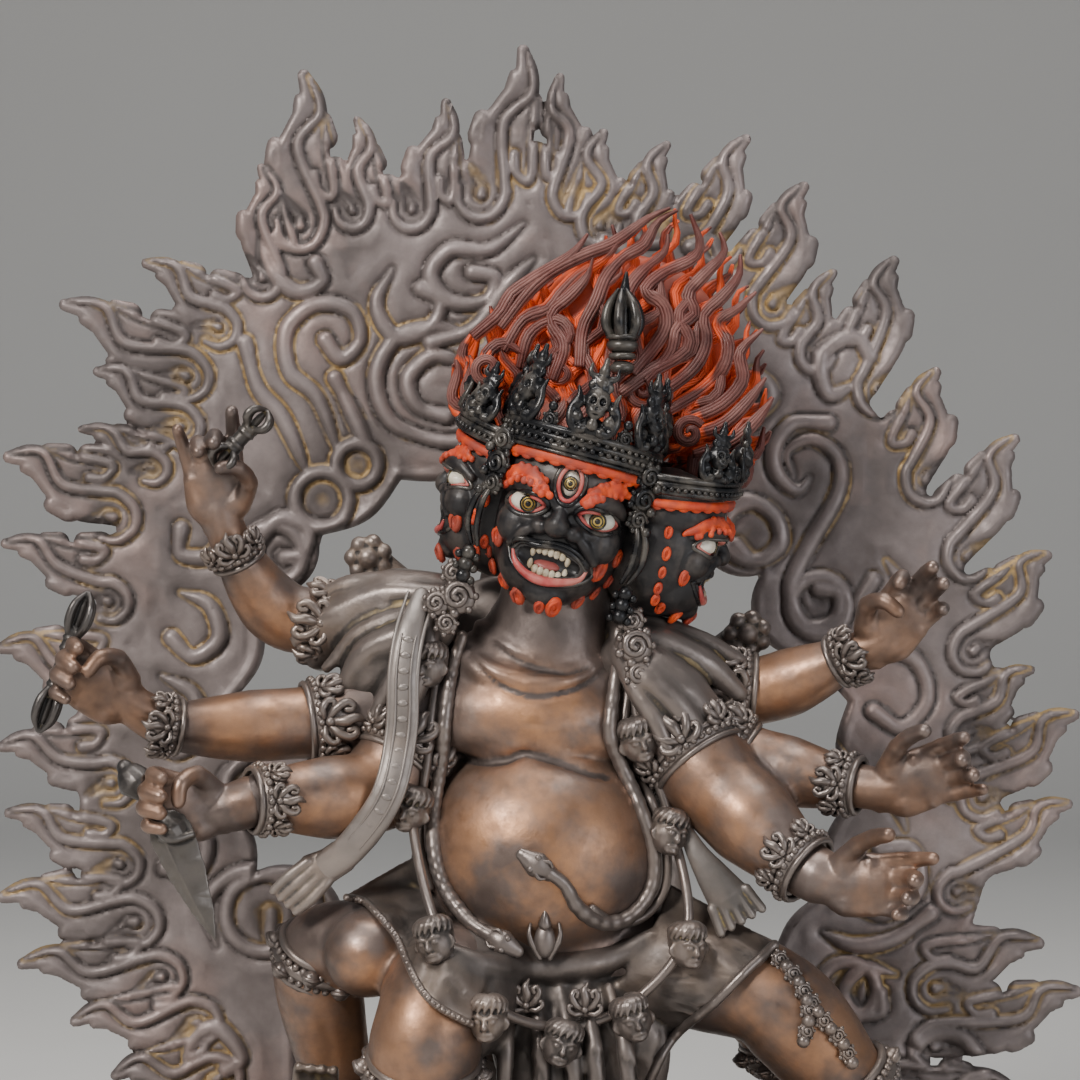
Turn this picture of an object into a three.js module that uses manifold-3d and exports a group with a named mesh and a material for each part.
// Guardian figure with three heads, six arms and four legs on an oval lotus plinth,
// with a ring of flames standing behind it.
// Millimetres, Z up, front towards -Y, origin in the middle of the plinth's underside.
import * as THREE from 'three';
import { mergeVertices } from 'three/addons/utils/BufferGeometryUtils.js';
import Module from 'manifold-3d';

const wasm = await Module();
wasm.setup();

const GAP = 0.35;
const SMOOTHING = 0.2;
const WELD = 0.01;
const DRAW_BACK = 0.04;
const DEGREE = Math.PI / 180;

const PLINTH = { halfWidth: 135, halfDepth: 75, height: 40, corner: 2.6, petals: 16, petalDepth: 5 };
const RING = { centreZ: 173.5, inner: 98, sideReach: 146, topReach: 44, topAngle: 98, spread: 38 };
const PLATE = { front: 44, thickness: 4, ridge: 2.3 };
const RING_FOOT = { inner: 76, outer: 104 };
const BELLY = { at: [0, -8, 150], half: [36, 32, 34] };
const CHEST = { at: [-1.5, -3, 196], half: [34, 25, 23] };
const HIPS = { at: [1.5, 0, 118], half: [39, 27, 23] };
const HEAD = { at: [6.5, -18, 248.4], half: [22, 22, 27], turn: -15, lean: 15, bow: 17 };
const HAIR = { at: [24, -3, 308], half: [41, 17, 31] };

// Bodies of revolution, ropes and plates

function solid(geometry) {
  const bare = geometry.clone();
  Object.keys(bare.attributes).filter((name) => name !== 'position').forEach((name) => bare.deleteAttribute(name));
  const tidy = mergeVertices(bare, 1e-4);
  const place = tidy.attributes.position.array;
  const index = tidy.index.array;
  const kept = [];
  let volume = 0;
  for (let i = 0; i < index.length; i += 3) {
    const [a, b, c] = [index[i], index[i + 1], index[i + 2]];
    if (a === b || b === c || c === a) continue;
    kept.push([a, b, c]);
    const [p, q, r] = [a, b, c].map((k) => new THREE.Vector3().fromArray(place, 3 * k));
    volume += p.dot(q.cross(r));
  }
  const outward = kept.map(([a, b, c]) => (volume < 0 ? [a, c, b] : [a, b, c]));
  return new wasm.Manifold(new wasm.Mesh({
    numProp: 3,
    vertProperties: Float32Array.from(place),
    triVerts: Uint32Array.from(outward.flat()),
  }));
}

function fuse(shapes) {
  return wasm.Manifold.union(shapes.flat(Infinity).map((shape) => (shape.isBufferGeometry ? solid(shape) : shape)));
}

function ellipsoid(at, half, turn = [0, 0, 0], around = 8, rows = 6) {
  const turned = new THREE.Euler(...turn.map((angle) => angle * DEGREE));
  return new THREE.SphereGeometry(1, around, rows)
    .rotateX(Math.PI / 2)
    .scale(...half)
    .applyMatrix4(new THREE.Matrix4().makeRotationFromEuler(turned))
    .translate(...at);
}

// A tapering rope: stations are [share of the length, radius], flat squeezes it front to back.
function rope(points, stations, sides = 6, flat = 1) {
  const curve = new THREE.CatmullRomCurve3(points.map((p) => new THREE.Vector3(...p)), false, 'centripetal');
  const length = curve.getLength();
  const [first, last] = [stations[0], stations[stations.length - 1]];
  const profile = [
    [first[0] - 0.6 * first[1] / length, 0],
    ...stations,
    [last[0] + 0.6 * last[1] / length, 0],
  ].map(([share, radius]) => new THREE.Vector2(radius, share));
  const geometry = new THREE.LatheGeometry(profile, sides);
  const vertex = geometry.attributes.position;
  const depth = new THREE.Vector3(0, 1, 0);
  for (let i = 0; i < vertex.count; i += 1) {
    const share = THREE.MathUtils.clamp(vertex.getY(i), 0, 1);
    const ahead = curve.getTangentAt(share);
    const side = new THREE.Vector3().crossVectors(ahead, depth).normalize();
    const front = new THREE.Vector3().crossVectors(side, ahead);
    const at = curve.getPointAt(share)
      .addScaledVector(ahead, (vertex.getY(i) - share) * length)
      .addScaledVector(side, vertex.getX(i))
      .addScaledVector(front, vertex.getZ(i) * flat);
    vertex.setXYZ(i, at.x, at.y, at.z);
  }
  return geometry;
}

function even(radii) {
  return radii.map((radius, k) => [k / (radii.length - 1), radius]);
}

// A flat plate in the upright plane, cut to an outline of [x, z] points.
function plate(outline, front, thickness) {
  const shape = new THREE.Shape(outline.map(([x, z]) => new THREE.Vector2(x, z)));
  return new THREE.ExtrudeGeometry(shape, { depth: thickness, bevelEnabled: false })
    .rotateX(Math.PI / 2)
    .translate(0, front + thickness, 0);
}

function box(low, high) {
  const size = high.map((value, k) => value - low[k]);
  const middle = high.map((value, k) => (value + low[k]) / 2);
  return new THREE.BoxGeometry(...size).translate(...middle);
}

// How far forward the trunk reaches at a place seen from the front.
function trunkFront(x, z) {
  const depths = [CHEST, BELLY, HIPS].map(({ at, half }) => {
    const left = 1 - ((x - at[0]) / half[0]) ** 2 - ((z - at[2]) / half[2]) ** 2;
    return left > 0 ? at[1] - half[1] * Math.sqrt(left) : 0;
  });
  return Math.min(-6, ...depths);
}

function laidOnTrunk(points, proud) {
  return points.map(([x, z]) => [x, trunkFront(x, z) - proud, z]);
}

// The plinth: an oval block with two rows of petals and a beaded rim

function petalWave(angle, shift) {
  const step = (angle * PLINTH.petals) / (2 * Math.PI) + shift;
  return Math.sqrt(Math.abs(Math.sin(Math.PI * step)));
}

function ovalPoint(angle, inset) {
  const [c, s] = [Math.cos(angle), Math.sin(angle)];
  const bend = (value) => Math.sign(value) * Math.abs(value) ** (2 / PLINTH.corner);
  return [(PLINTH.halfWidth - inset) * bend(c), (PLINTH.halfDepth - inset) * bend(s)];
}

function lotusBlock() {
  const rows = [
    { z: 0, inset: 0, petal: 0 },
    { z: 5, inset: 0, petal: 0 },
    { z: 8, inset: 2, petal: 1 },
    { z: 19, inset: 11, petal: 0.4 },
    { z: 22, inset: 11, petal: 0.4 },
    { z: 33, inset: 3, petal: 1 },
    { z: 35, inset: 8, petal: 0 },
    { z: 40, inset: 8, petal: 0 },
  ];
  const profile = [[0, 0], ...rows.map((row) => [1, row.z]), [0, PLINTH.height]];
  const around = PLINTH.petals * 3;
  const geometry = new THREE.LatheGeometry(profile.map(([r, z]) => new THREE.Vector2(r, z)), around);
  const vertex = geometry.attributes.position;
  const perTurn = profile.length;
  for (let i = 0; i < vertex.count; i += 1) {
    const row = rows[(i % perTurn) - 1];
    const angle = (Math.floor(i / perTurn) % around) * ((2 * Math.PI) / around);
    const z = vertex.getY(i);
    if (!row) {
      vertex.setXYZ(i, 0, 0, z);
      continue;
    }
    const shift = z > PLINTH.height / 2 ? 0.5 : 0;
    const inset = row.inset + PLINTH.petalDepth * row.petal * (1 - petalWave(angle, shift));
    const [x, y] = ovalPoint(angle, inset);
    vertex.setXYZ(i, x, y, z);
  }
  return geometry;
}

// Two small figures lying under the feet.
function underfoot() {
  const left = [
    ellipsoid([-46, -22, 47], [27, 20, 13], [0, 6, 0], 7, 4),
    ellipsoid([-72, -40, 51], [11, 11, 11], [0, 0, 0], 6, 4),
    rope([[-58, -30, 52], [-76, -18, 66], [-67, -25, 88]], even([6, 5, 3.5]), 5),
    rope([[-24, -16, 46], [-8, 4, 50], [-18, 26, 44]], even([8, 7, 5]), 5),
  ];
  const right = [
    ellipsoid([92, -6, 44], [26, 22, 11], [0, -4, 0], 7, 4),
    ellipsoid([112, -36, 48], [9.5, 9.5, 9.5], [0, 0, 0], 6, 4),
    rope([[72, 2, 44], [58, 22, 47], [68, 36, 43]], even([7, 6, 5]), 5),
  ];
  return [...left, ...right];
}

// The ring of flames

function ringReach(angle) {
  const away = (angle - RING.topAngle) / RING.spread;
  return RING.sideReach + RING.topReach * Math.exp(-away * away);
}

function onRing(angle, radius) {
  return [radius * Math.cos(angle * DEGREE), RING.centreZ + radius * Math.sin(angle * DEGREE)];
}

function ringPlate() {
  const [from, to, lobes] = [-24, 204, 13];
  const outer = [];
  for (let angle = to; angle >= from; angle -= 12) outer.push(onRing(angle, ringReach(angle)));
  const inner = [];
  const step = (to - from) / (lobes * 3);
  for (let k = 0; k <= lobes * 3; k += 1) {
    const bulge = k % 3 ? 5.5 : 0;
    inner.push(onRing(from + k * step, RING.inner - bulge));
  }
  const floor = PLINTH.height + GAP;
  const outline = [
    [-RING_FOOT.outer, floor],
    ...outer,
    [RING_FOOT.outer, floor],
    [RING_FOOT.inner, floor],
    ...inner,
    [-RING_FOOT.inner, floor],
  ];
  return plate(outline, PLATE.front, PLATE.thickness);
}

// Each tongue of flame: tip, root and half width, read from the frame round the figure.
const TONGUES = [
  [-134, 74, -102, 82, 10], [-147, 91, -112, 97, 10], [-164, 109, -124, 111, 10], [-171, 130, -130, 130, 11],
  [-168, 157, -134, 148, 9], [-171, 177, -136, 177, 10], [-171, 208, -136, 205, 11], [-169, 241, -136, 234, 9],
  [-168, 268, -134, 259, 11], [-145, 277, -116, 269, 7], [-140, 295, -112, 284, 9], [-151, 316, -112, 300, 11],
  [-125, 329, -96, 315, 9], [-88, 360, -82, 332, 9], [-75, 390, -71, 348, 11], [-58, 375, -52, 346, 8],
  [-30, 381, -33, 348, 9], [-6, 399, -10, 354, 11], [7, 389, 7, 355, 8], [21, 371, 14, 342, 9],
  [41, 367, 28, 342, 8], [66, 369, 50, 341, 9], [84, 354, 70, 326, 10], [93, 327, 79, 302, 8],
  [112, 331, 101, 302, 10], [125, 296, 115, 270, 10], [150, 275, 132, 249, 10], [160, 238, 139, 220, 10],
  [155, 202, 132, 189, 8], [169, 188, 140, 172, 10], [167, 160, 138, 147, 9], [158, 116, 120, 109, 11],
  [171, 101, 134, 92, 10], [150, 70, 108, 72, 11],
];

function tongueLine([tipX, tipZ, rootX, rootZ, halfWidth], share) {
  const [dx, dz] = [tipX - rootX, tipZ - rootZ];
  const length = Math.hypot(dx, dz);
  const side = tipX < 0 ? 1 : -1;
  const sway = side * 0.22 * halfWidth * Math.sin(2 * Math.PI * share);
  return [rootX + dx * share - (dz / length) * sway, rootZ + dz * share + (dx / length) * sway];
}

function tonguePlate(tongue) {
  const [tipX, tipZ, rootX, rootZ, halfWidth] = tongue;
  const length = Math.hypot(tipX - rootX, tipZ - rootZ);
  const [ux, uz] = [(tipX - rootX) / length, (tipZ - rootZ) / length];
  const side = tipX < 0 ? 1 : -1;
  const edge = (share, out) => {
    const [x, z] = tongueLine(tongue, share);
    return [x - uz * out * halfWidth, z + ux * out * halfWidth];
  };
  const barbed = [[-0.3, 1], [0.25, 0.9], [0.62, 0.74], [0.68, 0.34]];
  const smooth = [[0.78, 0.24], [0.4, 0.55], [-0.3, 1]];
  return plate(
    [
      ...barbed.map(([share, out]) => edge(share, -side * out)),
      [tipX, tipZ],
      ...smooth.map(([share, out]) => edge(share, side * out)),
    ],
    PLATE.front,
    PLATE.thickness,
  );
}

function ridge(points, width = PLATE.ridge, steps = 5) {
  const laid = points.map(([x, z]) => [x, PLATE.front, z]);
  const radii = Array.from({ length: steps }, (_, k) => width * (0.45 + 0.55 * Math.min(1, (2.5 * k) / steps)));
  return rope(laid, even(radii), 3, -1);
}

// The ridge on each tongue runs down from the tip and curls round at its foot.
function tongueRidge(tongue) {
  const halfWidth = tongue[4];
  const side = tongue[0] < 0 ? 1 : -1;
  const points = [0.75, 0.4, 0.05].map((share) => tongueLine(tongue, share));
  const [start, end] = [points[1], points[2]];
  const heading = Math.atan2(end[1] - start[1], end[0] - start[0]);
  const radius = 0.55 * halfWidth;
  const centre = [end[0] - side * radius * Math.sin(heading), end[1] + side * radius * Math.cos(heading)];
  for (const turn of [90, 190]) {
    const angle = heading - side * (Math.PI / 2 - turn * DEGREE);
    points.push([centre[0] + radius * Math.cos(angle), centre[1] + radius * Math.sin(angle)]);
  }
  return ridge(points);
}

// Scrolls on the band: a stem of [x, z] points that winds into a curl.
const SCROLLS = [
  [[-19, 305], [-31, 309], [-44, 306], [-51, 294], [-47, 280], [-34, 274], [-23, 273]],
  [[-22, 297], [-33, 300], [-41, 293], [-38, 284], [-29, 281]],
  [[-61, 264], [-69, 286], [-78, 295], [-79, 308], [-70, 316], [-59, 314], [-56, 305], [-64, 302]],
  [[-46, 327], [-51, 316], [-45, 306], [-34, 309], [-31, 317]],
  [[-5, 341], [-16, 333], [-28, 333], [-34, 325], [-28, 317], [-19, 317]],
  [[-87, 337], [-84, 327], [-76, 320], [-70, 325]],
  [[79, 262], [77, 270], [85, 274], [93, 268], [93, 257], [84, 241], [78, 227], [83, 216], [92, 218], [93, 226]],
  [[58, 249], [64, 255], [73, 250], [75, 241], [67, 236], [61, 241]],
  [[97, 174], [92, 186], [100, 197], [112, 202], [120, 211]],
  [[114, 152], [111, 164], [119, 174], [131, 171]],
  [[-101, 116], [-104, 130], [-93, 139], [-76, 138], [-70, 128], [-73, 117], [-83, 120]],
  [[-111, 79], [-107, 88], [-100, 90], [-93, 81]],
  [[111, 107], [101, 109], [95, 102], [98, 95], [106, 95]],
  [[114, 76], [120, 87], [132, 87], [139, 76]],
  [[-86, 232], [-88, 241], [-81, 249], [-73, 246], [-74, 238]],
  [[-88, 176], [-98, 168], [-94, 156], [-84, 158], [-88, 166]],
  [[100, 292], [90, 288], [88, 300], [98, 306]],
  [[36, 330], [44, 322], [56, 326], [54, 336]],
  [[-92, 62], [-84, 56], [-90, 48]],
  [[90, 62], [82, 56], [88, 48]],
];

function ringOfFlames() {
  const curls = [[-80, 122, 19, 15], [-84, 166, 15, 15], [91, 101, 14, 14], [86, 242, 18, 40], [82, 222, 18, 16]];
  const lobes = curls.map(([x, z, halfWidth, halfHeight]) => {
    const rim = Array.from({ length: 10 }, (_, k) => k * 36 * DEGREE);
    const outline = rim.map((angle) => [x + halfWidth * Math.cos(angle), z + halfHeight * Math.sin(angle)]);
    return plate(outline, PLATE.front, PLATE.thickness);
  });
  const scrolls = SCROLLS.map((points) => ridge(points, PLATE.ridge * 1.25, points.length));
  return fuse([ringPlate(), TONGUES.map(tonguePlate), TONGUES.map(tongueRidge), scrolls, lobes]);
}

// The trunk, with a crease under the chest and two rings on the neck

function trunk() {
  return [
    ellipsoid(BELLY.at, BELLY.half, [0, 0, 0], 14, 8),
    ellipsoid(CHEST.at, CHEST.half, [0, 0, 0], 12, 7),
    ellipsoid(HIPS.at, HIPS.half, [0, 0, 0], 9, 5),
    rope([[0, 2, 205], [3, -4, 222], [6, -10, 240]], even([19, 17, 15.5, 15]), 8),
  ];
}

// The head leans, turns and bows as one piece; its parts are set out round its own centre.

function headPlace() {
  const turned = new THREE.Matrix4().makeRotationZ(HEAD.turn * DEGREE);
  turned.multiply(new THREE.Matrix4().makeRotationY(HEAD.lean * DEGREE));
  turned.multiply(new THREE.Matrix4().makeRotationX(HEAD.bow * DEGREE));
  return turned.setPosition(...HEAD.at);
}

function face(size, around, rows) {
  const brows = [-1, 1].map((side) => ellipsoid([side * 10 * size, -17.5 * size, 8 * size],
    [8.5 * size, 5 * size, 3 * size], [0, -side * 20, 0], 4, 3));
  return [
    ellipsoid([0, 0, 0], HEAD.half.map((half) => half * size), [0, 0, 0], around, rows),
    ellipsoid([0, -20 * size, -1], [5.5 * size, 5.5 * size, 4.5 * size], [0, 0, 0], 4, 3),
    ellipsoid([0, -17 * size, -13 * size], [10.5 * size, 6.5 * size, 5 * size], [0, 0, 0], 6, 3),
    ...(size < 1 ? [] : brows),
  ];
}

function crownSkull(angle, radius, z) {
  const [x, y] = [radius * Math.sin(angle * DEGREE), -radius * Math.cos(angle * DEGREE)];
  return rope([[x, y, z - 3], [x, y, z + 16]], [[0.05, 4], [0.35, 5.4], [0.58, 2.8], [1, 1.4]], 4);
}

function heads() {
  const place = headPlace();
  const sideways = [-88, 88].map((angle) => {
    const turned = new THREE.Matrix4().makeRotationZ(angle * DEGREE);
    const out = new THREE.Vector3(0, -11, -3).applyMatrix4(turned);
    return face(0.86, 8, 5).map((part) => part.applyMatrix4(turned).translate(out.x, 6 + out.y, out.z));
  });
  const band = new THREE.TorusGeometry(23, 3, 3, 12).scale(1.12, 1, 1).translate(0, 2, 18);
  const skulls = [-72, -36, 0, 36, 72].map((angle) => crownSkull(angle, 24.5, 21));
  const sideSkulls = [-118, -92, 92, 118].map((angle) => crownSkull(angle, 31, 18));
  const rings = [-1, 1].map((side) => rope([[side * 24, -4, -6], [side * 25, -4, -34]], even([3, 4, 7, 2]), 5));
  return [face(1, 10, 6), ...sideways, band, skulls, sideSkulls, rings]
    .flat(Infinity)
    .map((part) => part.applyMatrix4(place));
}

// Hair standing up as a flame: a fan with waved locks running out past its edge.
function hair() {
  const root = [13, -6, 276];
  const count = 10;
  const locks = Array.from({ length: count }, (_, k) => {
    const share = k / (count - 1);
    const angle = (158 - 176 * share) * DEGREE;
    const [cx, cy, cz] = HAIR.at;
    const tip = [
      cx + (HAIR.half[0] + 5) * Math.cos(angle),
      cy + 1,
      cz + (HAIR.half[2] + 3) * Math.sin(angle) + 3,
    ];
    const layer = k % 2 ? -15 : -11;
    const middle = [0.35, 0.7].map((part, j) => {
      const sway = (j ? -1 : 1) * 3.5;
      return [
        root[0] + (tip[0] - root[0]) * part - Math.sin(angle) * sway,
        cy + layer + 5 * part,
        root[2] + (tip[2] - root[2]) * part + Math.cos(angle) * sway,
      ];
    });
    return rope([root, ...middle, tip], even([5, 6.5, 5.5, 1.2]), 3, -1);
  });
  const finial = rope([[24, -24, 296], [24.5, -23, 322]], [[0, 4], [0.3, 5.4], [0.42, 2.6], [0.7, 5.2], [1, 1]], 6);
  return [
    ellipsoid(HAIR.at, HAIR.half, [0, 12, 0], 12, 6),
    ellipsoid([15, -4, 284], [28, 17, 20], [0, 12, 0], 8, 4),
    ...locks,
    finial,
  ];
}

// Each arm: shoulder, elbow, wrist, palm and finger ends; girth is the forearm's widest radius.
const ARMS = [
  { path: [[-34, 4, 210], [-62, 5, 217], [-79, 5, 221], [-92, -5, 241]], palm: [-96, -9, 256], aim: [-98, -13, 276],
    girth: 10, band: 0.3 },
  { path: [[-30, -2, 199], [-56, -6, 191], [-72, -9, 188], [-110.5, -20, 188]], palm: [-122, -24, 197],
    aim: [-137, -28, 207], girth: 10.5, band: 0.34 },
  { path: [[-30, -4, 196], [-42, -12, 178], [-50, -18, 168], [-82, -35, 167]], palm: [-94, -42, 164],
    aim: [-111, -48, 168], girth: 12, band: 0.22 },
  { path: [[34, 4, 206], [56, 6, 198], [70, 5, 198], [92.7, -4, 208]], palm: [104, -9, 216], aim: [118, -14, 229],
    girth: 10, band: 0.34 },
  { path: [[34, -3, 194], [54, -4, 181], [64, -6, 176], [93.8, -18, 170]], palm: [108, -23, 171],
    aim: [131, -30, 181], girth: 10.5, band: 0.3 },
  { path: [[34, -5, 194], [46, -12, 178], [55, -18, 167], [77, -32, 147]], palm: [91, -40, 143],
    aim: [113, -48, 148], girth: 13.5, band: 0.22 },
];

function arm({ path, palm, aim, girth, band }) {
  const wrist = path[path.length - 1];
  const limb = rope([...path, palm], [
    [0.05, girth * 1.2],
    [band, girth * 1.3],
    [band + 0.1, girth * 1.25],
    [band + 0.12, girth],
    [0.74, girth * 0.68],
    [0.77, girth * 0.88],
    [0.86, girth * 0.6],
  ], 5);
  const to = new THREE.Vector3(...aim).sub(new THREE.Vector3(...palm));
  const length = to.length();
  const ahead = to.clone().normalize();
  const across = new THREE.Vector3().crossVectors(ahead, new THREE.Vector3(0, 1, 0)).normalize();
  const from = new THREE.Vector3(...palm);
  const point = (forward, side, out) => from.clone()
    .addScaledVector(ahead, forward * length)
    .addScaledVector(across, side)
    .add(new THREE.Vector3(0, -out, 0))
    .toArray();
  const fingers = [-1.5, -0.5, 0.5, 1.5].map((k) => rope(
    [point(0.15, k * 3.6, 0), point(1 - 0.12 * Math.abs(k), k * 3.4, 3 + k)], even([2.8, 1.9]), 3));
  const thumb = rope([point(-0.15, 6, 1), point(0.55, 8, 8)], even([3.2, 2]), 3);
  const hand = rope([wrist, point(0.3, 0, 0)], even([girth * 0.5, 8.4, 7.5]), 4, 0.6);
  return [limb, hand, ...fingers, thumb];
}

// Each leg: hip, knee, ankle and toe.
const LEGS = [
  { path: [[-14, -6, 118], [-28, -34, 112], [-33, -44, 97], [-38, -28, 60]], toe: [-56, -48, 49], girth: 17,
    band: 0.52 },
  { path: [[-14, 4, 120], [-48, -16, 122], [-66, -8, 116], [-56, 6, 60]], toe: [-72, -8, 50], girth: 14, band: 0.5 },
  { path: [[16, -4, 118], [56, -14, 112], [76, -18, 100], [104, -8, 60]], toe: [116, -28, 49], girth: 16.5,
    band: 0.56 },
  { path: [[16, 8, 114], [54, 14, 108], [70, 16, 98], [88, 24, 60]], toe: [100, 12, 49], girth: 13.5, band: 0.56 },
];

function leg({ path, toe, girth, band }, grow = 0) {
  const ankle = path[path.length - 1];
  const heel = [ankle[0], ankle[1] + 4, toe[2]];
  const limb = rope([...path, heel], [
    [0.05, girth + grow],
    [0.3, girth * 1.02 + grow],
    [band - 0.06, girth * 0.86 + grow],
    [band - 0.03, girth * 0.99 + grow],
    [band + 0.05, girth * 0.94 + grow],
    [0.75, girth * 0.74 + grow],
    [0.88, girth * 0.46 + grow],
    [0.93, girth * 0.58 + grow],
  ], 6);
  const foot = rope([[ankle[0], ankle[1] + 4, toe[2] + 3], toe], even([8.5 + grow, 7.5 + grow]), 5, 0.7);
  return [limb, foot];
}

// The skirt of skin: a drape over each thigh, a flap hanging between, and waved hems.
function skirt() {
  const flap = rope([[6, -26, 112], [8, -30, 92], [9, -27, 74]], even([22, 22, 18]), 7, 0.42);
  const folds = [-12, -2, 8, 18].map((x) => rope([[x, -33, 112], [x + 2, -38, 93], [x + 3, -34, 76]],
    even([3.6, 3.4, 2.4]), 3, -1));
  return [
    rope([[-8, 0, 122], [-24, -18, 122], [-42, -24, 121]], even([26, 23.5, 18.5]), 8),
    rope([[-12, -10, 118], [-24, -32, 112], [-26, -40, 106]], even([24, 21.5, 20]), 8),
    rope([[10, 0, 122], [38, -8, 118], [60, -13, 111]], even([28, 25, 20.5]), 8),
    rope([[12, 8, 120], [40, 14, 114], [54, 15, 108]], even([20, 16.5]), 7),
    rope([[-26, -8, 134], [0, -12, 126], [30, -8, 134]], even([7, 6, 7]), 4),
    flap,
    ...folds,
  ];
}

// Snakes hanging as a cord down both sides of the belly.
const SNAKE_LEFT = [[-23, 214], [-27, 196], [-29, 178], [-31, 160], [-29, 143], [-23, 132], [-11, 125]];
const SNAKE_RIGHT = [[25, 214], [22, 196], [21, 184], [27, 169], [33, 152], [32, 140], [22, 131], [11, 136], [7, 144],
  [0, 148]];
const GARLAND = [[-33, 205], [-38, 163], [-30, 127], [-15, 105], [6, 96], [27, 103], [43, 124], [38, 156], [29, 183]];

function cords() {
  const snakes = [SNAKE_LEFT, SNAKE_RIGHT].map((line) => rope(laidOnTrunk(line, 1.2),
    even(line.map((_, k) => (k === line.length - 1 ? 2 : 3.1))), 4));
  const strung = GARLAND.slice(1, -1).map(([x, z]) => [x, garlandDepth(x, z) + 4, z + 5]);
  return [...snakes, rope(strung, even(strung.map(() => 1.8)), 3)];
}

function garlandDepth(x, z) {
  return Math.min(trunkFront(x, z) - 4, z < 130 ? -41 + 0.1 * Math.abs(x) : -20);
}

// Severed heads strung as a garland, each with a cap of hair.
function garland() {
  return GARLAND.map(([x, z]) => {
    const y = garlandDepth(x, z);
    return rope([[x, y, z - 9], [x, y, z + 9]], [[0.15, 3.6], [0.45, 6.4], [0.62, 5.8], [0.66, 7], [0.88, 5]], 5);
  });
}

// Skins worn on the shoulders: straps with limp hands, folds over the arms, a hide down the back.
function skins() {
  const strap = rope([[-33, -14, 222], [-41, -22, 204], [-41, -26, 186], [-45, -25, 168], [-56, -25, 153],
    [-66, -26, 144]], even([4, 5.5, 5.5, 5, 5.5]), 5, 0.5);
  const limpLeft = [-1.5, -0.5, 0.5, 1.5].map((k) => rope(
    [[-65 + 1.6 * k, -26, 145 - 1.6 * k], [-73 + 1.8 * k, -26, 138 - 1.8 * k]], even([1.8, 1.4]), 3));
  const limpRight = rope([[44, -22, 168], [48, -23, 155], [55, -22, 140], [59, -22, 132]], even([3.5, 5, 9, 7]), 6,
    0.4);
  const paws = [[-52, 17, 236], [63, 17, 213]].map(([x, y, z]) => rope([[x * 0.6, 14, z - 18], [x, y, z]],
    even([9, 7.5]), 5));
  const folds = [
    [[-18, -16, 222], [-38, -16, 216], [-62, -8, 220], [-66, 8, 214]],
    [[-20, -18, 216], [-42, -18, 206], [-58, -14, 196], [-58, 0, 186]],
    [[20, -16, 216], [36, -18, 212], [52, -10, 210], [58, 6, 204]],
    [[22, -18, 208], [38, -22, 200], [46, -22, 188], [42, -18, 170]],
  ].map((line) => rope(line, even([4, 5.5, 5, 3.5]), 4));
  const hide = [
    ellipsoid([0, 18, 192], [50, 9, 42], [-6, 0, 0], 8, 4),
    ellipsoid([2, 24, 140], [42, 8, 48], [0, 0, 0], 8, 4),
  ];
  return [strap, limpLeft, limpRight, paws, folds, hide];
}

// Things held in the hands on the viewer's left.

function dagger(grow = 0) {
  const handle = rope([[-120, -44, 178], [-106, -46, 158]], [
    [0, 2 + grow], [0.12, 6 + grow], [0.3, 7 + grow], [0.42, 3 + grow], [0.85, 3 + grow], [0.95, 6.5 + grow],
    [1, 6.5 + grow],
  ], 6);
  const blade = rope([[-106, -46, 158], [-93, -48, 127]], even([7.5 + grow, 6.4 + grow, 3.6 + grow, 0.5 + grow]), 4,
    0.7);
  return [handle, blade];
}

function sceptre([from, to], scale, grow = 0) {
  const swelling = [[0, 1], [0.1, 5], [0.28, 5.6], [0.38, 2.4], [0.5, 4], [0.62, 2.4], [0.72, 5.6], [0.9, 5], [1, 1]];
  return rope([from, to], swelling.map(([share, radius]) => [share, radius * scale + grow]), 6);
}

const UPPER_SCEPTRE = [[-96, -20, 264], [-80, -21, 281]];
const MIDDLE_SCEPTRE = [[-131, -34, 228], [-146, -34, 186]];

function held(grow) {
  return {
    dagger: fuse(dagger(grow)),
    vajra_upper: fuse([sceptre(UPPER_SCEPTRE, 1, grow)]),
    vajra_middle: fuse([sceptre(MIDDLE_SCEPTRE, 1, grow)]),
  };
}

// Colour and finish of each casting

const FINISH = {
  body: { name: 'body_bronze', color: 0x4a3527 },
  ring: { name: 'ring_bronze', color: 0x5b5049 },
  plinth: { name: 'plinth_bronze', color: 0x4d4037 },
  held: { name: 'dark_bronze', color: 0x25211e },
};

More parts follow.
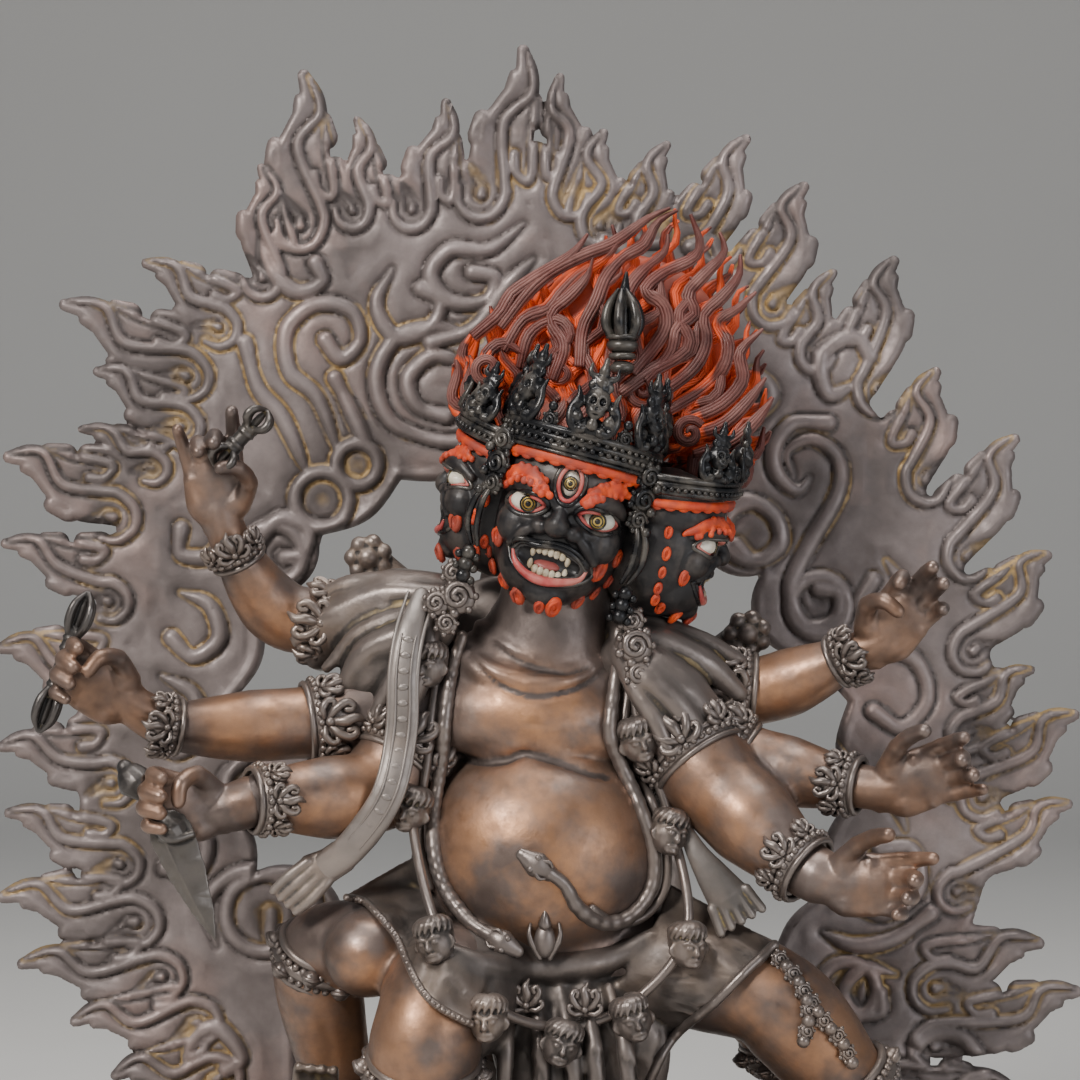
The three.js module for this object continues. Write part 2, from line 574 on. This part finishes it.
// Where two folds of the skin meet in one point, each is drawn back a little towards its own side.
function partFolds(corners, triangles) {
  const places = new Map();
  corners.forEach((corner, k) => {
    const key = corner.toArray().map((value) => Math.round(value / WELD)).join();
    places.set(key, [...(places.get(key) ?? []), k]);
  });
  for (const k of [...places.values()].filter((same) => same.length > 1).flat()) {
    const round = triangles.filter((triangle) => triangle.includes(k)).flat();
    const middle = round.reduce((sum, j) => sum.add(corners[j]), new THREE.Vector3()).divideScalar(round.length);
    corners[k].add(middle.sub(corners[k]).setLength(DRAW_BACK));
  }
}

function meshOf(name, body, finish) {
  const pieces = body.asOriginal().simplify(SMOOTHING).decompose();
  const tidy = pieces.reduce((largest, piece) => (piece.volume() > largest.volume() ? piece : largest));
  const { numProp, vertProperties, triVerts } = tidy.getMesh();
  const corners = Array.from({ length: vertProperties.length / numProp }, (_, k) => (
    new THREE.Vector3().fromArray(vertProperties, k * numProp)));
  const triangles = Array.from({ length: triVerts.length / 3 }, (_, k) => Array.from(triVerts.slice(3 * k, 3 * k + 3)));
  partFolds(corners, triangles);
  const geometry = new THREE.BufferGeometry().setFromPoints(corners);
  geometry.setIndex(triangles.flat());
  geometry.computeVertexNormals();
  const material = new THREE.MeshStandardMaterial({ color: finish.color, metalness: 0.9, roughness: 0.42 });
  material.name = finish.name;
  const mesh = new THREE.Mesh(geometry, material);
  mesh.name = name;
  return mesh;
}

function figure() {
  const below = solid(box([-160, -90, -10], [160, 90, 45]));
  const body = fuse([
    trunk(), heads(), hair(), ARMS.map(arm), LEGS.map((one) => leg(one)), skirt(), cords(), garland(), skins(),
  ]);
  return wasm.Manifold.difference([body, below, ...Object.values(held(GAP))]);
}

function plinth() {
  const feet = fuse(LEGS.map((one) => leg(one, GAP + 0.2)));
  return fuse([lotusBlock(), underfoot()]).subtract(feet);
}

const statue = new THREE.Group();
statue.name = 'vajrapani_statue';
statue.add(meshOf('lotus_base', plinth(), FINISH.plinth));
statue.add(meshOf('figure', figure(), FINISH.body));
statue.add(meshOf('flame_mandorla', ringOfFlames(), FINISH.ring));
for (const [name, body] of Object.entries(held(0))) statue.add(meshOf(name, body, FINISH.held));

export default statue;
